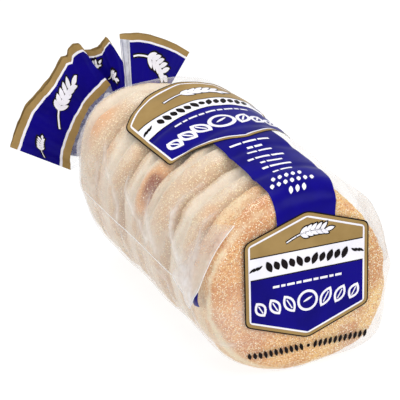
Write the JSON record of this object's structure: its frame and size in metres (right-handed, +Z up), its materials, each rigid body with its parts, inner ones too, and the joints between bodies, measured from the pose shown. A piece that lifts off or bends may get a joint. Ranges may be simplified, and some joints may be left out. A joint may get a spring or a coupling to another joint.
{
  "type": "bag of english muffins",
  "caption": "Clear film bread bag of English muffins in a row, lying on its side, with its neck gathered in a clip and its printed mouth flared.",
  "frame": {"origin": "on the surface that the bag rests on, in the middle of the flat strip under the row of muffins", "axes": "+Z up; +Y along the row of muffins, from the printed end panel towards the gathered neck and the flared mouth; +X across the row"},
  "size_m": [0.1186, 0.2064, 0.1025],
  "materials": {
    "bag_film_and_muffins": "clear film over pale griddled bread, with printed labels",
    "clip_plastic": "satin"
  },
  "bodies": {
    "root": {"bag": "bag_film_and_muffins", "closure_clip": "clip_plastic"}
  },
  "joints": []
}
